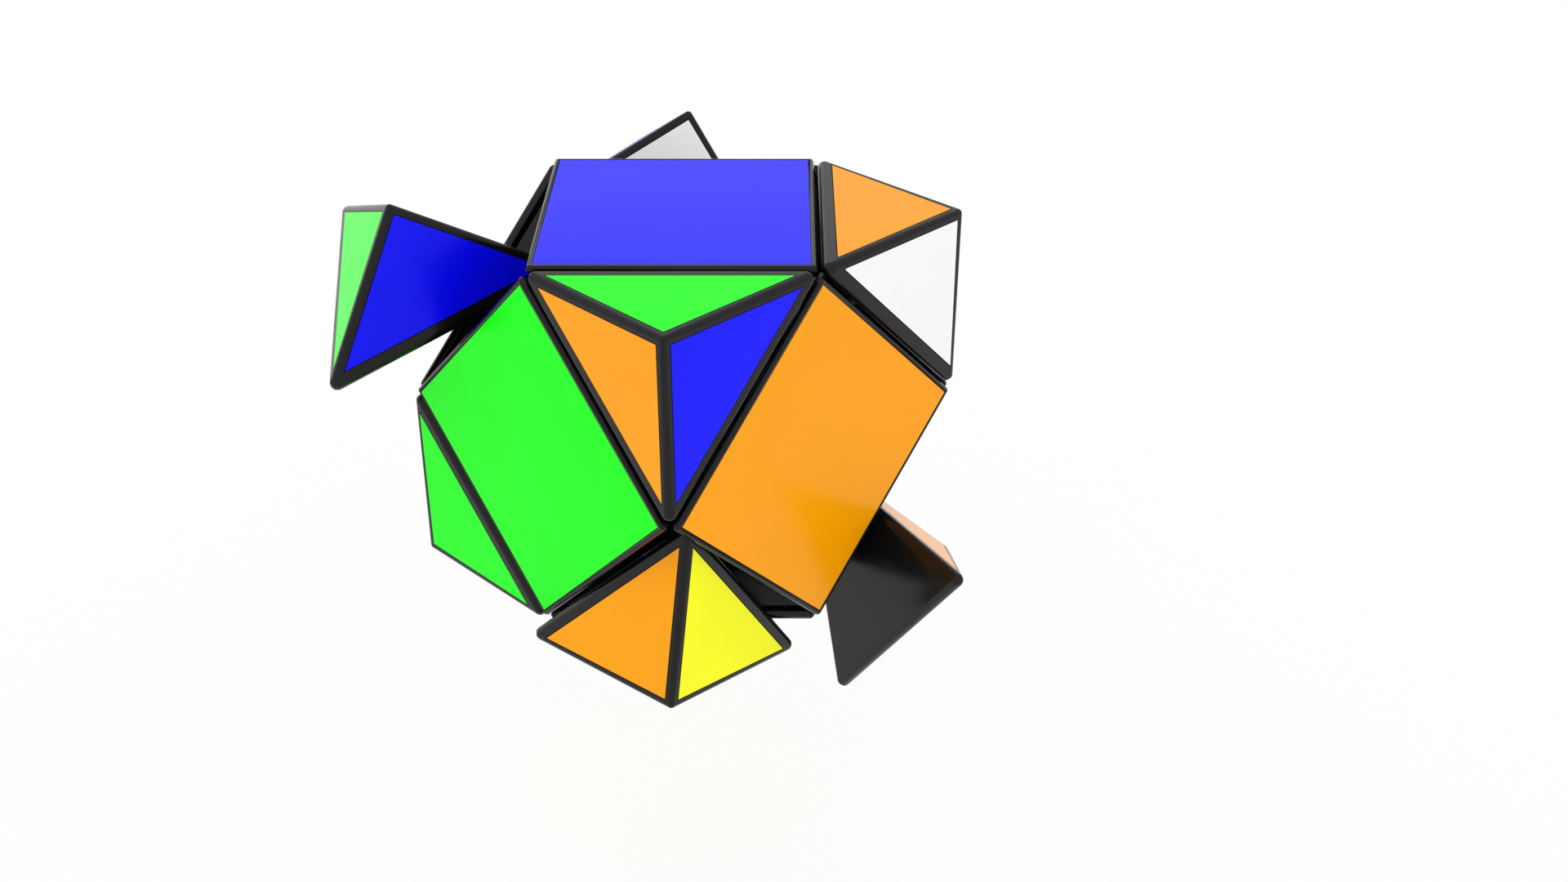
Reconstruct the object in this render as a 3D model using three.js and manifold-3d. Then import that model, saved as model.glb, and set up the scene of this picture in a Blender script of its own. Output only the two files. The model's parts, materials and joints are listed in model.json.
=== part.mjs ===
// Corner-turning puzzle cube: eight corner caps, six centres with coloured tiles, and a four-arm core
// with sprung axle stems and captive floating feet. Four of the caps are lifted off their stems.
// Millimetres, +Z up. The origin is the middle of the bottom centre's outer face.
import * as THREE from 'three';
import { mergeVertices } from 'three/addons/utils/BufferGeometryUtils.js';
import Module from 'manifold-3d';

const wasm = await Module();
wasm.setup();

// ---- driving dimensions ----
const HALF = 28.5;                 // half of the 57 mm edge
const CUT = 0.403;                 // half of the cut between pieces, measured along an axis
const CAP_TIP_R = 0.65;            // rounding of a cap's outer corner
const CAP_BASE_R = 1.05;           // rounding of a cap's other corners
const ROUND_STEPS = 7;             // facets across a cap's rounding
const PLATE_LOW = 27.075;          // underside of a centre's rim band
const PLATE_R = 0.5;               // rounding of a centre's rim
const SKIRT_LOW = 22.5;            // inner end of a centre's recessed wall
const SKIRT_TOP = 27.3;
const SKIRT_INSET = 1.0;           // how far the wall is set in from the rim band
const TILE_HALF_DIAG = 26.19;
const TILE_LOW = 28.0;
const POCKET_HALF_DIAG = 26.34;
const POCKET_FLOOR = 27.9;
const POST_R = 4.8;                // centre's post, skirt to foot
const FOOT_IN = 14.0;              // centre's foot: shell between these two radii
const FOOT_OUT = 16.4;
const FOOT_DEG = 34.5;             // angular radius of the foot, under the axle flanges and over the floating feet
const BALL_R = 9.9;                // core
const ARM_R = 2.2;
const ARM_END = 20.4;
const ARM_HOLE_R = 1.3;
const ARM_HOLE_START = 12.5;
const FLOAT_IN = 10.3;             // floating foot's shell
const FLOAT_OUT = 13.6;
const FLOAT_DEG = 25;
const NECK_R = 2.42;
const NECK_END = 22.4;
const FLANGE_IN = 17.3;            // axle stem
const FLANGE_OUT = 19.5;
const FLANGE_DEG = 23;
const STEM_R = 3.28;
const STEM_BORE_R = 2.5;
const WEB_LOW = 20.8;
const WEB_TOP = 21.8;
const STEM_END = 26.2;
const PEG_TOP = 31.6;              // cap pegs, from a stem or foot to the cap's flat back
const PEG_GAP = 0.3;
const WEB_HOLE_R = 1.3;
const STEM_POCKET_R = 2.55;
const SCREW_R = 1.0;
const SCREW_START = 13.0;
const SCREW_HEAD_R = 2.2;
const SCREW_HEAD_LOW = 24.7;
const SCREW_HEAD_TOP = 25.9;
const SPRING_R = 1.75;
const WIRE_R = 0.24;
const SPRING_LOW = 22.1;
const SPRING_TOP = 24.4;
const SPRING_TURNS = 2.5;
const LATHE_STEPS = 28;

// Corner directions by place. Axle corners carry screwed stems; the others ride on floating feet.
// A cap is the hull of one small ball at its outer corner and three that touch its faces and both cuts.
const CORNERS = {
  top_front: [1, 1, 1], top_left: [1, -1, 1], top_right: [-1, 1, 1], top_back: [-1, -1, 1],
  bottom_front: [1, 1, -1], bottom_left: [1, -1, -1], bottom_right: [-1, 1, -1], bottom_back: [-1, -1, -1],
};
const SEATED = ['top_front', 'top_right', 'bottom_left', 'bottom_back'];
const AXLES = ['top_left', 'top_right', 'bottom_front', 'bottom_back'];
const FLOATS = ['top_front', 'top_back', 'bottom_left', 'bottom_right'];
// Centres: outward axis and sign.
const CENTRES = {
  top: [2, 1], left: [0, 1], right: [1, 1], bottom: [2, -1], back_right: [0, -1], back_left: [1, -1],
};
// Loose caps: turn vector (radians) about the cap's own outer corner, and that corner's place in half-edges.
const LOOSE = {
  top_left: { turn: [-0.21178, -0.62442, 1.13396], tip: [1.02213, -0.99714, 1.03978] },
  top_back: { turn: [-0.99647, 0.36519, 0.01076], tip: [-1.1065, -1.11377, 0.94314] },
  bottom_front: { turn: [0.0219, -0.1827, 0.0985], tip: [1.0026, 0.9699, -1.0303] },
  bottom_right: { turn: [-0.75465, 0.87295, 0.13981], tip: [-1.00671, 1.01332, -1.00152] },
};

const rad = (deg) => (deg * Math.PI) / 180;
const vec = (a) => new THREE.Vector3(a[0], a[1], a[2]);

function toSolid(geometry) {
  const g = geometry.clone();
  g.deleteAttribute('normal');
  g.deleteAttribute('uv');
  const m = mergeVertices(g, 1e-4);
  return new wasm.Manifold(new wasm.Mesh({
    numProp: 3,
    vertProperties: Float32Array.from(m.attributes.position.array),
    triVerts: Uint32Array.from(m.index.array),
  }));
}

function fromSolid(solid) {
  const mesh = solid.getMesh();
  const g = new THREE.BufferGeometry();
  g.setAttribute('position', new THREE.BufferAttribute(Float32Array.from(mesh.vertProperties), 3));
  g.setIndex(new THREE.BufferAttribute(Uint32Array.from(mesh.triVerts), 1));
  return g;
}

function tidy(geometry) {
  const g = geometry.clone();
  g.deleteAttribute('normal');
  g.deleteAttribute('uv');
  const m = mergeVertices(g, 1e-4);
  const ix = m.index.array;
  const keep = [];
  for (let i = 0; i < ix.length; i += 3) {
    if (ix[i] !== ix[i + 1] && ix[i + 1] !== ix[i + 2] && ix[i] !== ix[i + 2]) keep.push(ix[i], ix[i + 1], ix[i + 2]);
  }
  m.setIndex(keep);
  return m;
}

// A convex body bounded by planes [nx, ny, nz, d] (n . p <= d), three at every corner, with each corner
// rounded by a ball of radius roundAt(corner) and the edges between them rounded to match.
function roundedBody(planes, roundAt, steps) {
  const P = planes.map((p) => ({ n: vec(p).normalize(), d: p[3] / vec(p).length() }));
  const meet = (a, b, c, inset) => {
    const m = new THREE.Matrix3().set(
      P[a].n.x, P[a].n.y, P[a].n.z, P[b].n.x, P[b].n.y, P[b].n.z, P[c].n.x, P[c].n.y, P[c].n.z);
    if (Math.abs(m.determinant()) < 1e-6) return null;
    return new THREE.Vector3(P[a].d - inset, P[b].d - inset, P[c].d - inset).applyMatrix3(m.invert());
  };
  const verts = [];
  for (let a = 0; a < P.length; a++) for (let b = a + 1; b < P.length; b++) for (let c = b + 1; c < P.length; c++) {
    const v = meet(a, b, c, 0);
    if (!v || P.some((p) => p.n.dot(v) > p.d + 1e-6)) continue;
    const r = roundAt(v);
    verts.push({ f: [a, b, c], r, c: meet(a, b, c, r) });
  }
  const inside = verts.reduce((s, v) => s.add(v.c), new THREE.Vector3()).multiplyScalar(1 / verts.length);
  const out = [];
  const at = (v, n) => v.c.clone().addScaledVector(n, v.r);
  const tri = (p, q, s) => {
    const n = q.clone().sub(p).cross(s.clone().sub(p));
    const flip = n.dot(p.clone().add(q).add(s).multiplyScalar(1 / 3).sub(inside)) < 0;
    for (const t of flip ? [p, s, q] : [p, q, s]) out.push(t.x, t.y, t.z);
  };
  for (const v of verts) {
    const [n0, n1, n2] = v.f.map((i) => P[i].n);
    const pt = (i, j) => at(v, new THREE.Vector3().addScaledVector(n0, steps - i - j).addScaledVector(n1, i)
      .addScaledVector(n2, j).normalize());
    for (let i = 0; i < steps; i++) for (let j = 0; j < steps - i; j++) {
      tri(pt(i, j), pt(i + 1, j), pt(i, j + 1));
      if (i + j < steps - 1) tri(pt(i + 1, j), pt(i + 1, j + 1), pt(i, j + 1));
    }
  }
  for (let a = 0; a < verts.length; a++) for (let b = a + 1; b < verts.length; b++) {
    const [v, w] = [verts[a], verts[b]];
    const both = v.f.filter((i) => w.f.includes(i));
    if (both.length !== 2) continue;
    const along = (k) => new THREE.Vector3().addScaledVector(P[both[0]].n, steps - k)
      .addScaledVector(P[both[1]].n, k).normalize();
    for (let k = 0; k < steps; k++) {
      const [m, n] = [along(k), along(k + 1)];
      tri(at(v, m), at(w, m), at(w, n));
      tri(at(v, m), at(w, n), at(v, n));
    }
  }
  P.forEach((p, i) => {
    const ring = verts.filter((v) => v.f.includes(i)).map((v) => at(v, p.n));
    const mid = ring.reduce((s, q) => s.add(q), new THREE.Vector3()).multiplyScalar(1 / ring.length);
    const u = ring[0].clone().sub(mid).normalize();
    const w = p.n.clone().cross(u);
    const turn = (q) => Math.atan2(q.clone().sub(mid).dot(w), q.clone().sub(mid).dot(u));
    ring.sort((s, t) => turn(s) - turn(t));
    for (let k = 1; k + 1 < ring.length; k++) tri(ring[0], ring[k], ring[k + 1]);
  });
  const g = new THREE.BufferGeometry();
  g.setAttribute('position', new THREE.BufferAttribute(Float32Array.from(out), 3));
  return tidy(g);
}

// A turned body along +Z from (radius, height) points listed from the low end, outside, to the high end.
function turned(points, steps = LATHE_STEPS) {
  const g = new THREE.LatheGeometry(points.map(([r, h]) => new THREE.Vector2(r, h)), steps);
  g.rotateX(Math.PI / 2);
  return tidy(g);
}

function arc(radius, fromDeg, toDeg, n) {
  const p = [];
  for (let i = 0; i <= n; i++) {
    const t = rad(fromDeg + ((toDeg - fromDeg) * i) / n);
    p.push([radius * Math.sin(t), radius * Math.cos(t)]);
  }
  return p;
}

const degAt = (r, radius) => (Math.asin(r / radius) * 180) / Math.PI;

// Turns +Z to the given direction.
function aim(geometry, dir) {
  const q = new THREE.Quaternion().setFromUnitVectors(new THREE.Vector3(0, 0, 1), vec(dir).normalize());
  return geometry.clone().applyQuaternion(q);
}

// A right prism over the diamond |x| + |y| <= h.
function diamond(h, low, high) {
  const s = new THREE.Shape([[h, 0], [0, h], [-h, 0], [0, -h]].map(([x, y]) => new THREE.Vector2(x, y)));
  const g = new THREE.ExtrudeGeometry(s, { depth: high - low, bevelEnabled: false });
  g.translate(0, 0, low);
  return tidy(g);
}

function cylinder(r, low, high, steps = LATHE_STEPS) {
  return turned([[0, low], [r, low], [r, high], [0, high]], steps);
}

// ---- shapes, each along +Z from the cube's middle ----
function centreBody() {
  const side = (sx, sy) => [sx, sy, -1, -CUT];
  const sides = [side(1, 1), side(1, -1), side(-1, 1), side(-1, -1)];
  const plate = roundedBody([[0, 0, 1, HALF], [0, 0, -1, -PLATE_LOW], ...sides], () => PLATE_R, 3);
  const inset = sides.map((s) => [s[0], s[1], s[2], s[3] - SKIRT_INSET]);
  const skirt = roundedBody([[0, 0, 1, SKIRT_TOP], [0, 0, -1, -SKIRT_LOW], ...inset], () => 0.3, 2);
  const post = cylinder(POST_R, (FOOT_IN + FOOT_OUT) / 2, SKIRT_LOW + 1);
  const disc = turned([...arc(FOOT_IN, 0, FOOT_DEG, 8), ...arc(FOOT_OUT, FOOT_DEG, 0, 8)]);
  return toSolid(plate).add(toSolid(skirt)).add(toSolid(post)).add(toSolid(disc))
    .subtract(toSolid(diamond(POCKET_HALF_DIAG, POCKET_FLOOR, HALF + 1)));
}

function coreBody() {
  let s = toSolid(tidy(new THREE.IcosahedronGeometry(BALL_R, 5)));
  for (const name of AXLES) {
    const arm = turned([[0, 0], [ARM_R, 0], [ARM_R, ARM_END], [0, ARM_END]]);
    s = s.add(toSolid(aim(arm, CORNERS[name])));
  }
  for (const name of AXLES) {
    s = s.subtract(toSolid(aim(cylinder(ARM_HOLE_R, ARM_HOLE_START, ARM_END + 1), CORNERS[name])));
  }
  return fromSolid(s);
}

function axleStem() {
  const g = turned([
    ...arc(FLANGE_IN, degAt(STEM_BORE_R, FLANGE_IN), FLANGE_DEG, 4),
    ...arc(FLANGE_OUT, FLANGE_DEG, degAt(STEM_R, FLANGE_OUT), 3),
    [STEM_R, STEM_END - 0.25], [STEM_R - 0.25, STEM_END], [STEM_POCKET_R, STEM_END],
    [STEM_POCKET_R, WEB_TOP], [WEB_HOLE_R, WEB_TOP], [WEB_HOLE_R, WEB_LOW], [STEM_BORE_R, WEB_LOW],
    arc(FLANGE_IN, degAt(STEM_BORE_R, FLANGE_IN), FLANGE_DEG, 4)[0],
  ]);
  return g;
}

function floatFoot() {
  return turned([
    ...arc(FLOAT_IN, 0, FLOAT_DEG, 6), ...arc(FLOAT_OUT, FLOAT_DEG, degAt(NECK_R, FLOAT_OUT), 5),
    [NECK_R, NECK_END - 0.25], [NECK_R - 0.25, NECK_END], [0, NECK_END],
  ]);
}

function screw() {
  const body = turned([
    [0, SCREW_START], [SCREW_R * 0.5, SCREW_START], [SCREW_R, SCREW_START + 0.7], [SCREW_R, SCREW_HEAD_LOW],
    [SCREW_HEAD_R, SCREW_HEAD_LOW], [SCREW_HEAD_R, SCREW_HEAD_TOP - 0.45], [SCREW_HEAD_R * 0.72, SCREW_HEAD_TOP - 0.08],
    [0, SCREW_HEAD_TOP],
  ], 24);
  let s = toSolid(body);
  for (const [w, d] of [[2.4, 0.5], [0.5, 2.4]]) {
    const slot = new THREE.BoxGeometry(w, d, 1.6);
    slot.translate(0, 0, SCREW_HEAD_TOP);
    s = s.subtract(toSolid(slot));
  }
  return fromSolid(s);
}

function spring() {
  class Helix extends THREE.Curve {
    getPoint(t, target = new THREE.Vector3()) {
      const a = 2 * Math.PI * SPRING_TURNS * t;
      const low = SPRING_LOW + WIRE_R;
      return target.set(SPRING_R * Math.cos(a), SPRING_R * Math.sin(a), low + (SPRING_TOP - SPRING_LOW - 2 * WIRE_R) * t);
    }
  }
  const ring = [];
  for (let i = 0; i < 6; i++) ring.push(new THREE.Vector2(WIRE_R * Math.cos(rad(60 * i)), WIRE_R * Math.sin(rad(60 * i))));
  const g = new THREE.ExtrudeGeometry(new THREE.Shape(ring), {
    steps: Math.round(SPRING_TURNS * 12), bevelEnabled: false, extrudePath: new Helix(),
  });
  return tidy(g);
}

function capShape(c) {
  const planes = [[c[0], 0, 0, HALF], [0, c[1], 0, HALF], [0, 0, c[2], HALF],
    [-c[0], -c[1], -c[2], -(2 * HALF + CUT - 2 * CAP_BASE_R)]];
  const tip = vec(c).multiplyScalar(HALF);
  return roundedBody(planes, (v) => (v.distanceTo(tip) < 1 ? CAP_TIP_R : CAP_BASE_R), ROUND_STEPS);
}

// ---- assembly ----
const group = new THREE.Group();
group.name = 'corner_turning_cube';

function add(name, geometry, color, metalness, roughness) {
  const g = geometry.clone();
  g.translate(0, 0, HALF);
  g.computeVertexNormals();
  const material = new THREE.MeshStandardMaterial({ color, metalness, roughness });
  material.name = name;
  const mesh = new THREE.Mesh(g, material);
  mesh.name = name;
  group.add(mesh);
}

const BLACK = 0x202022;
const STEEL = 0x9a9ca0;
const TILE_COLORS = { top: 0x1020f0, left: 0x10c020, right: 0xff8a10, bottom: 0xf5e010, back_right: 0xf2f2f2, back_left: 0xd01818 };

add('core', coreBody(), BLACK, 0, 0.4);

const screwShape = screw();
const springShape = spring();
const stemShape = axleStem();
for (const name of AXLES) {
  add(`axle_stem_${name}`, aim(stemShape, CORNERS[name]), BLACK, 0, 0.4);
  add(`tension_screw_${name}`, aim(screwShape, CORNERS[name]), STEEL, 1, 0.3);
  add(`tension_spring_${name}`, aim(springShape, CORNERS[name]), STEEL, 1, 0.3);
}
const footShape = floatFoot();
for (const name of FLOATS) add(`floating_foot_${name}`, aim(footShape, CORNERS[name]), BLACK, 0, 0.4);

for (const name of SEATED) {
  const axle = AXLES.includes(name);
  const r = axle ? STEM_R : NECK_R;
  const low = (axle ? STEM_END : NECK_END) + PEG_GAP;
  const peg = turned([[0, low], [r - 0.2, low], [r, low + 0.2], [r, PEG_TOP - 0.2], [r - 0.2, PEG_TOP], [0, PEG_TOP]]);
  add(`cap_peg_${name}`, aim(peg, CORNERS[name]), BLACK, 0, 0.4);
}

for (const [name, c] of Object.entries(CORNERS)) {
  let g = capShape(c);
  if (LOOSE[name]) {
    const { turn, tip } = LOOSE[name];
    const t = vec(turn);
    g.translate(-c[0] * HALF, -c[1] * HALF, -c[2] * HALF);
    g.applyQuaternion(new THREE.Quaternion().setFromAxisAngle(t.clone().normalize(), t.length()));
    g.translate(tip[0] * HALF, tip[1] * HALF, tip[2] * HALF);
  }
  add(`corner_cap_${name}`, g, BLACK, 0, 0.25);
}

const bodyShape = fromSolid(centreBody());
const tileShape = roundedBody([[0, 0, 1, HALF], [0, 0, -1, -TILE_LOW], [1, 1, 0, TILE_HALF_DIAG],
  [1, -1, 0, TILE_HALF_DIAG], [-1, 1, 0, TILE_HALF_DIAG], [-1, -1, 0, TILE_HALF_DIAG]], () => 0.06, 2);
for (const [name, [axis, sign]] of Object.entries(CENTRES)) {
  const n = new THREE.Vector3().setComponent(axis, sign);
  const x = new THREE.Vector3().setComponent((axis + 1) % 3, 1);
  const m = new THREE.Matrix4().makeBasis(x, n.clone().cross(x), n);
  add(`centre_${name}`, bodyShape.clone().applyMatrix4(m), BLACK, 0, 0.25);
  add(`tile_${name}`, tileShape.clone().applyMatrix4(m), TILE_COLORS[name], 0, 0.2);
}

export default group;
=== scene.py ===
import json
import math

import bmesh
import bpy
from mathutils import Matrix, Quaternion, Vector


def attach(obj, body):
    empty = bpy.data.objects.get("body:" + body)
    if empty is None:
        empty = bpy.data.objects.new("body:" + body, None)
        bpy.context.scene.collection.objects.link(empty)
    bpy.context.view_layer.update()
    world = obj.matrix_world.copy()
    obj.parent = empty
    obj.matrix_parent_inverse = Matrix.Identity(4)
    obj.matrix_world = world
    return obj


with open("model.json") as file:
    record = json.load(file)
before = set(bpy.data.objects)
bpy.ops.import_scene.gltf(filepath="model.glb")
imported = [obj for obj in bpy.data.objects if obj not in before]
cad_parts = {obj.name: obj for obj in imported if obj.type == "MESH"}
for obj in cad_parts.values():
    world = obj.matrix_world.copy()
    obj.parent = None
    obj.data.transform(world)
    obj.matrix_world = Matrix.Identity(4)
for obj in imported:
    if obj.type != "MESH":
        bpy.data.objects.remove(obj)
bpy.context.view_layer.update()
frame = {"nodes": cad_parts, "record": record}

A = 0.0285                      # half of the cube's edge, metres
K = 0.01414                     # half of a cut, in half-edges
EDGE_INSET = 0.0465             # sticker to the cube's edge
CUT_INSET = 0.0582              # sticker to the cut
CORNERS = {
    "top_front": (1, 1, 1), "top_left": (1, -1, 1), "top_right": (-1, 1, 1), "top_back": (-1, -1, 1),
    "bottom_front": (1, 1, -1), "bottom_left": (1, -1, -1), "bottom_right": (-1, 1, -1), "bottom_back": (-1, -1, -1),
}
LOOSE = {
    "top_left": ((-0.21178, -0.62442, 1.13396), (1.02213, -0.99714, 1.03978)),
    "top_back": ((-0.99647, 0.36519, 0.01076), (-1.1065, -1.11377, 0.94314)),
    "bottom_front": ((0.0219, -0.1827, 0.0985), (1.0026, 0.9699, -1.0303)),
    "bottom_right": ((-0.75465, 0.87295, 0.13981), (-1.00671, 1.01332, -1.00152)),
}
# Sticker colours by the axis each one faces when its cap is seated: X, Y, Z.
STICKERS = {
    "top_front": ("orange", "blue", "green"),
    "top_right": ("blue", "white", "orange"),
    "bottom_front": ("orange", "yellow", "green"),
    "bottom_left": ("green", "red", "yellow"),
    "bottom_right": ("orange", "yellow", "white"),
    "top_back": ("red", "blue", "white"),
    "top_left": ("blue", "green", "red"),
    "bottom_back": ("yellow", "white", "red"),
}
TILES = {"top": "blue", "left": "green", "right": "orange", "bottom": "yellow", "back_right": "white", "back_left": "red"}
COLOURS = {
    "blue": (0.002, 0.002, 1.0), "green": (0.0, 1.0, 0.0), "orange": (1.0, 0.372, 0.0),
    "yellow": (1.0, 1.0, 0.0), "red": (1.0, 0.004, 0.002), "white": (0.96, 0.96, 0.96),
}


# ---- materials ----
def new_material(name):
    m = bpy.data.materials.new(name)
    m.use_nodes = True
    nt = m.node_tree
    nt.nodes.clear()
    out = nt.nodes.new("ShaderNodeOutputMaterial")
    bsdf = nt.nodes.new("ShaderNodeBsdfPrincipled")
    nt.links.new(bsdf.outputs[0], out.inputs[0])
    tex = nt.nodes.new("ShaderNodeTexCoord")
    return m, nt, bsdf, tex


def noise(nt, tex, scale, detail=3.0, rough=0.55):
    n = nt.nodes.new("ShaderNodeTexNoise")
    n.inputs["Scale"].default_value = scale
    n.inputs["Detail"].default_value = detail
    n.inputs["Roughness"].default_value = rough
    nt.links.new(tex.outputs["Object"], n.inputs["Vector"])
    return n


def spread(nt, source, low, high):
    r = nt.nodes.new("ShaderNodeMapRange")
    r.inputs["From Min"].default_value = 0.3
    r.inputs["From Max"].default_value = 0.7
    r.inputs["To Min"].default_value = low
    r.inputs["To Max"].default_value = high
    nt.links.new(source, r.inputs["Value"])
    return r.outputs[0]


def plastic(name, base, tint, rough, bump, grain=2600.0, specular=0.5):
    """Moulded plastic: a faint mottle in colour and gloss, and a very fine skin."""
    m, nt, bsdf, tex = new_material(name)
    cloud = noise(nt, tex, 60.0)
    mix = nt.nodes.new("ShaderNodeMix")
    mix.data_type = "RGBA"
    mix.inputs["A"].default_value = (*base, 1)
    mix.inputs["B"].default_value = (*tint, 1)
    nt.links.new(spread(nt, cloud.outputs["Fac"], 0.0, 1.0), mix.inputs["Factor"])
    nt.links.new(mix.outputs["Result"], bsdf.inputs["Base Color"])
    smear = noise(nt, tex, 180.0, 4.0, 0.6)
    nt.links.new(spread(nt, smear.outputs["Fac"], rough[0], rough[1]), bsdf.inputs["Roughness"])
    skin = noise(nt, tex, grain, 2.0)
    b = nt.nodes.new("ShaderNodeBump")
    b.inputs["Strength"].default_value = bump
    b.inputs["Distance"].default_value = 0.00002
    nt.links.new(skin.outputs["Fac"], b.inputs["Height"])
    nt.links.new(b.outputs[0], bsdf.inputs["Normal"])
    bsdf.inputs["Specular IOR Level"].default_value = specular
    return m


def metal(name):
    m, nt, bsdf, tex = new_material(name)
    cloud = noise(nt, tex, 900.0, 4.0)
    ramp = nt.nodes.new("ShaderNodeValToRGB")
    ramp.color_ramp.elements[0].color = (0.42, 0.43, 0.45, 1)
    ramp.color_ramp.elements[1].color = (0.66, 0.67, 0.69, 1)
    nt.links.new(cloud.outputs["Fac"], ramp.inputs["Fac"])
    nt.links.new(ramp.outputs[0], bsdf.inputs["Base Color"])
    nt.links.new(spread(nt, cloud.outputs["Fac"], 0.22, 0.38), bsdf.inputs["Roughness"])
    bsdf.inputs["Metallic"].default_value = 1.0
    return m


def shade(c, f):
    return tuple(min(1.0, v * f) for v in c)


BLACK = plastic("black_plastic", (0.0035, 0.0035, 0.0038), (0.005, 0.005, 0.0054), (0.17, 0.25), 0.03, grain=1200.0, specular=0.24)
INNER = plastic("inner_plastic", (0.004, 0.004, 0.0045), (0.007, 0.007, 0.0075), (0.28, 0.42), 0.2)
# near-black matte outline colour for the corner stickers: painted shade standing in for the shadowed recess line
# around each sticker
RECESS_SHADE = plastic("sticker_recess_shade", (0.0006, 0.0006, 0.0006), (0.0012, 0.0012, 0.0012), (0.55, 0.7), 0.1, specular=0.12)
STEEL = metal("plated_steel")
SHEET = {k: plastic("sheet_" + k, v, shade(v, 0.955), (0.19, 0.25), 0.012, grain=900.0, specular=0.15) for k, v in COLOURS.items()}


def paint(obj, material):
    obj.data.materials.clear()
    obj.data.materials.append(material)


# ---- the CAD nodes: smooth fillets, flat faces ----
def dress(obj, material, angle=32.0):
    paint(obj, material)
    for p in obj.data.polygons:
        p.use_smooth = True
    weld = obj.modifiers.new("weld", "WELD")
    weld.merge_threshold = 1e-6
    soft = obj.modifiers.new("soft", "WEIGHTED_NORMAL")
    soft.mode = "FACE_AREA"
    soft.weight = 60
    soft.keep_sharp = True


for name, obj in frame["nodes"].items():
    if name.startswith(("corner_cap_", "centre_")):
        dress(obj, BLACK)
    elif name.startswith("tile_"):
        dress(obj, SHEET[TILES[name[5:]]])
    elif name.startswith(("tension_screw_", "tension_spring_")):
        dress(obj, STEEL)
    else:
        dress(obj, INNER)


# ---- coloured sheets on the corner caps ----
def cap_matrix(name):
    c = CORNERS[name]
    up = Matrix.Translation((0, 0, A))
    if name not in LOOSE:
        return up
    turn, tip = LOOSE[name]
    v = Vector(turn)
    q = Quaternion(v.normalized(), v.length)
    return up @ Matrix.Translation(Vector(tip) * A) @ q.to_matrix().to_4x4() @ Matrix.Translation(-Vector(c) * A)


def prism(bm, pts, normal, low, high, material, bevel):
    """A thin triangle between two heights along the normal, its rim eased by a small chamfer."""
    mid = sum(pts, Vector()) / 3
    lower = [bm.verts.new(p + normal * low) for p in pts]
    shoulder = [bm.verts.new(p + normal * (high - bevel)) for p in pts]
    inset = [p + (mid - p).normalized() * bevel * 2.0 for p in pts]
    upper = [bm.verts.new(p + normal * high) for p in inset]
    faces = [bm.faces.new(upper), bm.faces.new(lower[::-1])]
    for ring_a, ring_b in ((lower, shoulder), (shoulder, upper)):
        for i in range(3):
            j = (i + 1) % 3
            faces.append(bm.faces.new((ring_a[i], ring_a[j], ring_b[j], ring_b[i])))
    for f in faces:
        f.material_index = material
    return faces


def sticker(name, axis, colour):
    c = CORNERS[name]
    i, j = [a for a in range(3) if a != axis]

    def triangle(e, cut):
        near, far = 1 - e, K + cut * math.sqrt(2) + e
        pts = []
        for a, b in ((near, near), (near, far), (far, near)):
            p = [0.0, 0.0, 0.0]
            p[axis], p[i], p[j] = c[axis], a * c[i], b * c[j]
            pts.append(Vector(p) * A)
        return pts

    normal = Vector([c[axis] if k == axis else 0 for k in range(3)])
    bm = bmesh.new()
    # a slightly larger near-black triangle under each sticker: painted shade of the recess around the sticker, not a
    # dark joint in the plastic
    recess_shade_width = 0.0052
    prism(bm, triangle(EDGE_INSET - recess_shade_width, CUT_INSET - recess_shade_width), normal, -0.00003, 0.000006, 1, 0.000001)
    prism(bm, triangle(EDGE_INSET, CUT_INSET), normal, -0.00002, 0.00002, 0, 0.000004)
    bmesh.ops.recalc_face_normals(bm, faces=bm.faces)
    me = bpy.data.meshes.new(f"sheet_{name}_{'xyz'[axis]}")
    bm.to_mesh(me)
    bm.free()
    me.transform(cap_matrix(name))
    me.materials.append(SHEET[colour])
    me.materials.append(RECESS_SHADE)
    obj = bpy.data.objects.new(me.name, me)
    bpy.context.scene.collection.objects.link(obj)
    return obj


for name, colours in STICKERS.items():
    body = [b for b, nodes in frame["record"]["behaviour"]["bodies"].items() if "corner_cap_" + name in nodes][0]
    for axis, colour in enumerate(colours):
        s = sticker(name, axis, colour)
        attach(s, body)

# ---- floor, light, camera ----
bm = bmesh.new()
rings, sides = 24, 64
low = -0.047
centre = bm.verts.new((0, 0, low))
last = None
for r in range(1, rings + 1):
    d = 0.02 * 1.42 ** r
    ring = [bm.verts.new((d * math.cos(2 * math.pi * s / sides), d * math.sin(2 * math.pi * s / sides), low)) for s in range(sides)]
    for s in range(sides):
        t = (s + 1) % sides
        bm.faces.new((centre, ring[s], ring[t]) if last is None else (last[s], ring[s], ring[t], last[t]))
    last = ring
    if d > 12:
        break
me = bpy.data.meshes.new("floor")
bm.to_mesh(me)
bm.free()
floor = bpy.data.objects.new("floor", me)
bpy.context.scene.collection.objects.link(floor)
m, nt, bsdf, tex = new_material("floor")
bsdf.inputs["Roughness"].default_value = 0.9
bsdf.inputs["Specular IOR Level"].default_value = 0.1
cloud = noise(nt, tex, 3.0)
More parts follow.
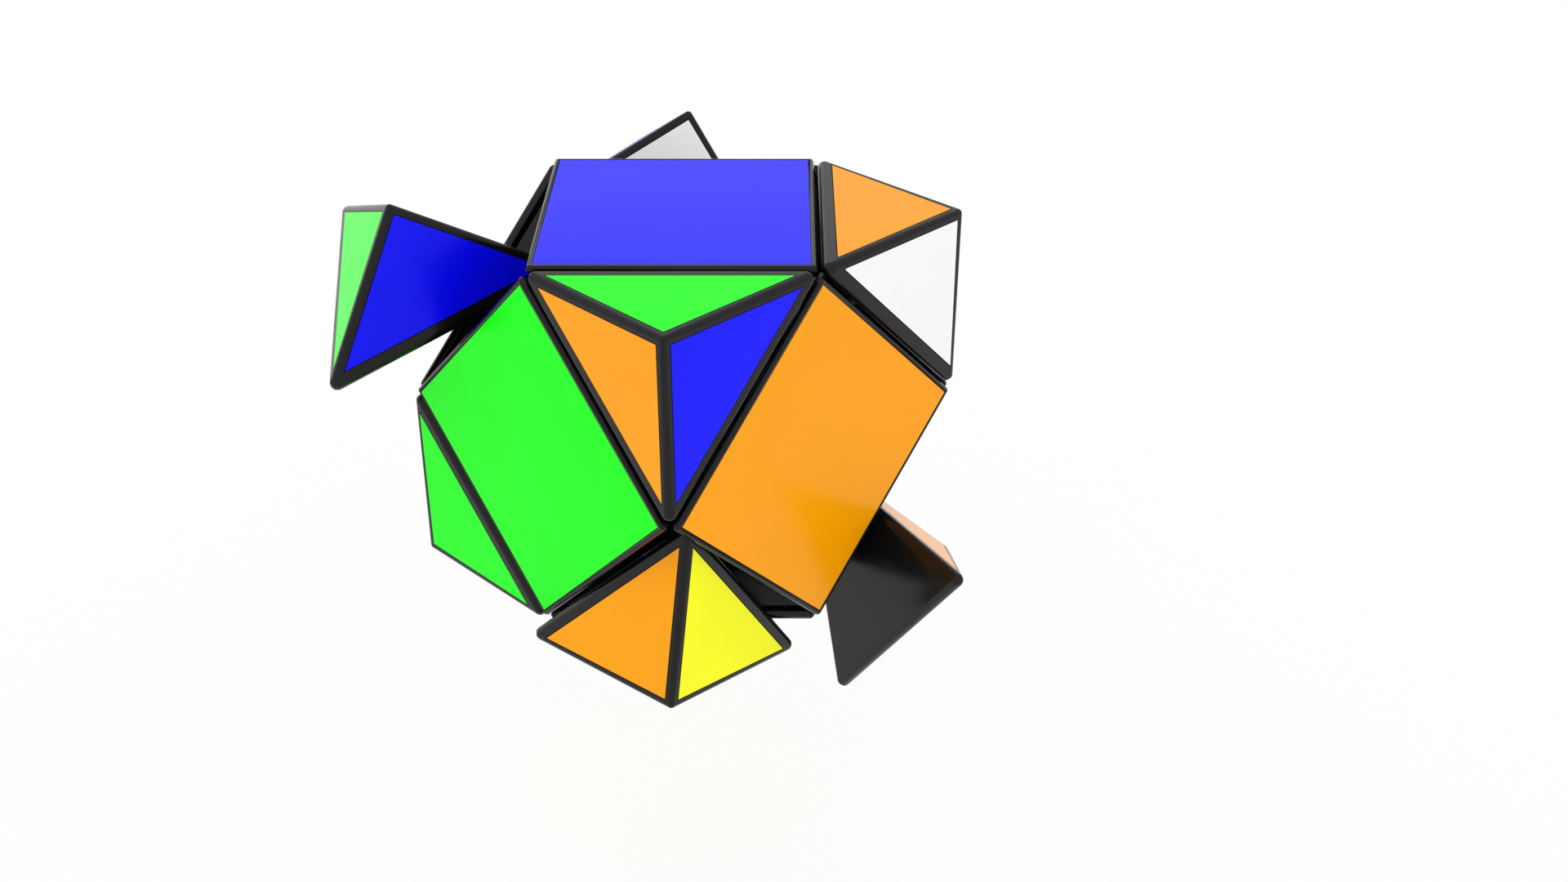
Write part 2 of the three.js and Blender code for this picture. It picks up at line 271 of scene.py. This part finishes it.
mix = nt.nodes.new("ShaderNodeMix")
mix.data_type = "RGBA"
mix.inputs["A"].default_value = (0.96, 0.96, 0.96, 1)
mix.inputs["B"].default_value = (0.975, 0.975, 0.975, 1)
nt.links.new(cloud.outputs["Fac"], mix.inputs["Factor"])
dim = nt.nodes.new("ShaderNodeMix")
dim.data_type = "RGBA"
dim.inputs["Factor"].default_value = 0.86
dim.inputs["B"].default_value = (0, 0, 0, 1)
nt.links.new(mix.outputs["Result"], dim.inputs["A"])
nt.links.new(dim.outputs["Result"], bsdf.inputs["Base Color"])
nt.links.new(mix.outputs["Result"], bsdf.inputs["Emission Color"])
bsdf.inputs["Emission Strength"].default_value = 0.88
me.materials.append(m)

scene = bpy.context.scene
world = bpy.data.worlds.new("studio")
scene.world = world
world.use_nodes = True
bg = world.node_tree.nodes["Background"]
bg.inputs["Color"].default_value = (1, 1, 1, 1)
bg.inputs["Strength"].default_value = 1.0


def area(name, place, aim, size, power):
    data = bpy.data.lights.new(name, "AREA")
    data.shape = "DISK"
    data.size = size
    data.energy = power
    obj = bpy.data.objects.new(name, data)
    obj.location = place
    obj.rotation_euler = (Vector(aim) - Vector(place)).to_track_quat("-Z", "Y").to_euler()
    scene.collection.objects.link(obj)


area("key", (0.5, 0.1, 0.9), (0, 0, 0.03), 0.8, 0.5)

cam_data = bpy.data.cameras.new("camera")
cam_data.sensor_fit = "HORIZONTAL"
cam_data.sensor_width = 36.0
cam_data.lens = 2314.6 / 1920 * 36
cam_data.clip_start = 0.005
cam_data.clip_end = 50
cam = bpy.data.objects.new("camera", cam_data)
right = Vector((-0.70652, 0.70770, 0.00054)).normalized()
fwd = Vector((-0.61258, -0.61117, -0.50121)).normalized()
up = right.cross(fwd).normalized()
rot = Matrix((right, up, -fwd)).transposed()
cam.matrix_world = Matrix.Translation((5.76343 * A, 6.49070 * A, 4.69233 * A + A)) @ rot.to_4x4()
scene.collection.objects.link(cam)
scene.camera = cam
scene.view_settings.view_transform = "Standard"
scene.view_settings.look = "None"
